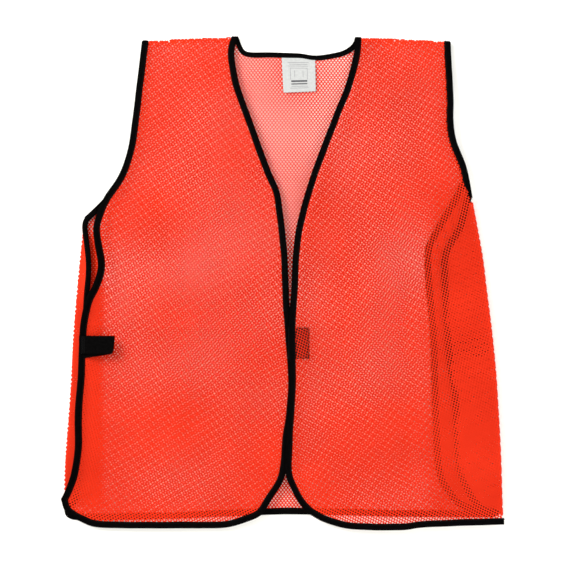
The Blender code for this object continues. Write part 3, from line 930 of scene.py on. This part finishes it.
waist = [(y, x) for x, y in smoothCurve(rightEdge) if -130 < y < -30]
tabStart = float(np.interp(-84, [y for y, _ in waist], [x for _, x in waist])) - 5.0
hookTab = patchSlab("hookTab", (tabStart, closure["low"]), (closure["tabReach"], closure["high"]), tabBase,
                    closure["tabRise"], closure["tabThickness"], fastener, 0.05)
hookX, hookY = np.meshgrid(np.arange(closure["hookStart"], closure["tabReach"] - 1, closure["hookPitch"]),
                           np.arange(closure["low"] + 1.5, closure["high"] - 1, closure["hookPitch"]))
hookX[::2] += closure["hookPitch"] / 2
hookPlace = tabBase(hookX.ravel(), hookY.ravel())
hookPlace = hookPlace + (0, 0, closure["tabRise"] + closure["tabThickness"] / 2 + 0.25)
hooks = stitchRun("hookTabHooks", hookPlace, np.tile((1.0, 0.3, 0.5), (len(hookPlace), 1)),
                  np.tile((-0.4, 0.0, 0.9), (len(hookPlace), 1)), fastener, closure["hookLength"])
patchCorners = (closure["patchStart"], closure["low"]), (closure["patchEnd"], closure["high"])
loopPatch = patchSlab("loopPatch", *patchCorners, patchBase, closure["patchRise"], closure["patchThickness"],
                      fastener, closure["patchGrain"], 5)
for piece, body, node in ((hookTab, "right_front", "hook_tab"), (loopPatch, "left_front", "loop_patch")):
    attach(piece, body)
    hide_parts(node)
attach(hooks, "right_front")


def boxPath(low, high, inset):
    (x0, y0), (x1, y1) = np.add(low, inset), np.subtract(high, inset)
    return evenRun(np.array([(x0, y0), (x1, y0), (x1, y1), (x0, y1), (x0, y0)], float), 1.0)


patchStitches = stitchesOn("loopPatchStitches", boxPath(*patchCorners, 1.6), 0.0, patchBase, 0.25,
                           bothSides=False)
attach(patchStitches, "left_front")
print("closure made")

# the care label: a white slip with generic grey marks

label = {
    "low": (-2.0, 264.0),
    "high": (45.0, 315.0),
    "thickness": 0.35,
    "z": 1.5,  # height of its sewn top
    "lift": 1.4,  # how much higher it lies below the binding
    "curl": 0.8,
    "markRise": 0.06,
}


def labelBase(x, y):
    # its top is sewn in under the neck binding, and it hangs a little askew
    down = (label["high"][1] - y) / (label["high"][1] - label["low"][1])
    side = (x - label["low"][0]) / (label["high"][0] - label["low"][0])
    lift = label["lift"] * smoothStep(down, 0.08, 0.4)
    lift = lift + label["curl"] * down**2 * (1 + 0.5 * np.sin((x + 10) / 9))
    swung = x + down * (2.7 - 1.9 * side)
    raised = y + down * (0.9 + 2.2 * side) - 1.5 * side * (1 - down)
    return np.stack([swung, raised, label["z"] + lift], -1)


careLabel = patchSlab("careLabel", label["low"], label["high"], labelBase, 0.0, label["thickness"],
                      labelCloth, 0.02)
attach(careLabel, "label")
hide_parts("care_label")

# plain bars and rules, each a rectangle from the label's lower corner: x, y, width, height
labelMarks = {
    "labelBars": (printFinish("greyPrint", (0.035, 0.035, 0.04)),
                  [(12, 15.0, 23, 2.4), (12, 11.3, 23, 1.6)]),
    "labelRules": (printFinish("paleGreyPrint", (0.17, 0.17, 0.175)),
                   [(8, 43.5, 30, 0.7), (10, 40.8, 26, 0.7), (8, 38.1, 29, 0.7), (12, 8.0, 24, 0.6),
                    (10, 5.6, 27, 0.6), (11, 18.5, 0.6, 17.0), (35, 18.5, 0.6, 17.0),
                    (11, 35.0, 24.6, 0.6), (17, 22.0, 0.6, 10.0), (29, 22.0, 0.6, 10.0)]),
}
for name, (finish, marks) in labelMarks.items():
    points, quads, count = [], [], 0
    for x, y, width, height in marks:
        gridX, gridY = np.meshgrid(
            label["low"][0] + x + np.linspace(0, width, max(1, int(width / 2)) + 1),
            label["low"][1] + y + np.linspace(0, height, max(1, int(height / 2)) + 1))
        raised = labelBase(gridX, gridY) + (0, 0, label["thickness"] / 2 + label["markRise"])
        points.append(raised.reshape(-1, 3))
        quads.append(gridFaces(gridX.shape, count))
        count += gridX.size
    made = meshPiece(name, np.vstack(points), [np.vstack(quads)], [finish])
    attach(made, "label")
print("label made")

# the flat net area of each cloth piece, in square metres

for name, made in cloths.items():
    print(name, "net area", round(netAreas[name], 4))

# floor, light and camera

studio = {
    "floor": (0.945, 0.935, 0.88),
    "floorSize": 40.0,
    "floorDrop": 0.3,  # in millimetres, under the cloth
    "skyColor": (1.0, 1.0, 1.0),
    "skyStrength": 0.85,
    "cameraHeight": 1.75,
    "cameraCentre": (0.007, -0.0074),
    "clothHeight": 0.010,  # the camera's height is over the cloth
    "seenWidth": 0.8006,  # of the view, at the cloth's height
    "sensor": 36.0,
}

half = studio["floorSize"] / 2 / mm
floorFinish = newFinish("paleFloor", studio["floor"], 0.9, 0.1)[0]
floorCorners = [(x, y, -studio["floorDrop"])
                for x, y in ((-half, -half), (half, -half), (half, half), (-half, half))]
floor = meshPiece("floor", floorCorners, [np.array([(0, 1, 2, 3)])], [floorFinish])

lamps = {
    "keyLamp": {"at": (-1.7, 1.25, 1.6), "size": 0.9, "power": 80.0, "color": (1.0, 0.99, 0.97)},
    "fillLamp": {"at": (1.7, -0.8, 2.2), "size": 2.4, "power": 46.0, "color": (0.98, 0.99, 1.0)},
}
for name, setting in lamps.items():
    light = bpy.data.lights.new(name, "AREA")
    light.shape, light.size = "SQUARE", setting["size"]
    light.energy, light.color = setting["power"], setting["color"]
    lamp = bpy.data.objects.new(name, light)
    bpy.context.scene.collection.objects.link(lamp)
    lamp.location = setting["at"]
    aim = -np.array(setting["at"])  # at the middle of the vest
    tilt, facing = math.atan2(math.hypot(aim[0], aim[1]), -aim[2]), math.atan2(aim[1], aim[0])
    lamp.rotation_euler = (tilt, 0, facing - math.pi / 2)

world = bpy.data.worlds.new("studioSky")
world.use_nodes = True
background = world.node_tree.nodes["Background"]
background.inputs["Color"].default_value = (*studio["skyColor"], 1)
background.inputs["Strength"].default_value = studio["skyStrength"]
bpy.context.scene.world = world
bpy.context.scene.view_settings.view_transform = "Standard"

lens = bpy.data.cameras.new("overheadCamera")
lens.sensor_width = studio["sensor"]
lens.lens = studio["sensor"] * studio["cameraHeight"] / studio["seenWidth"]
camera = bpy.data.objects.new("overheadCamera", lens)
camera.location = (*studio["cameraCentre"], studio["cameraHeight"] + studio["clothHeight"])
bpy.context.scene.collection.objects.link(camera)
bpy.context.scene.camera = camera
print("studio lit")

bpy.context.view_layer.update()
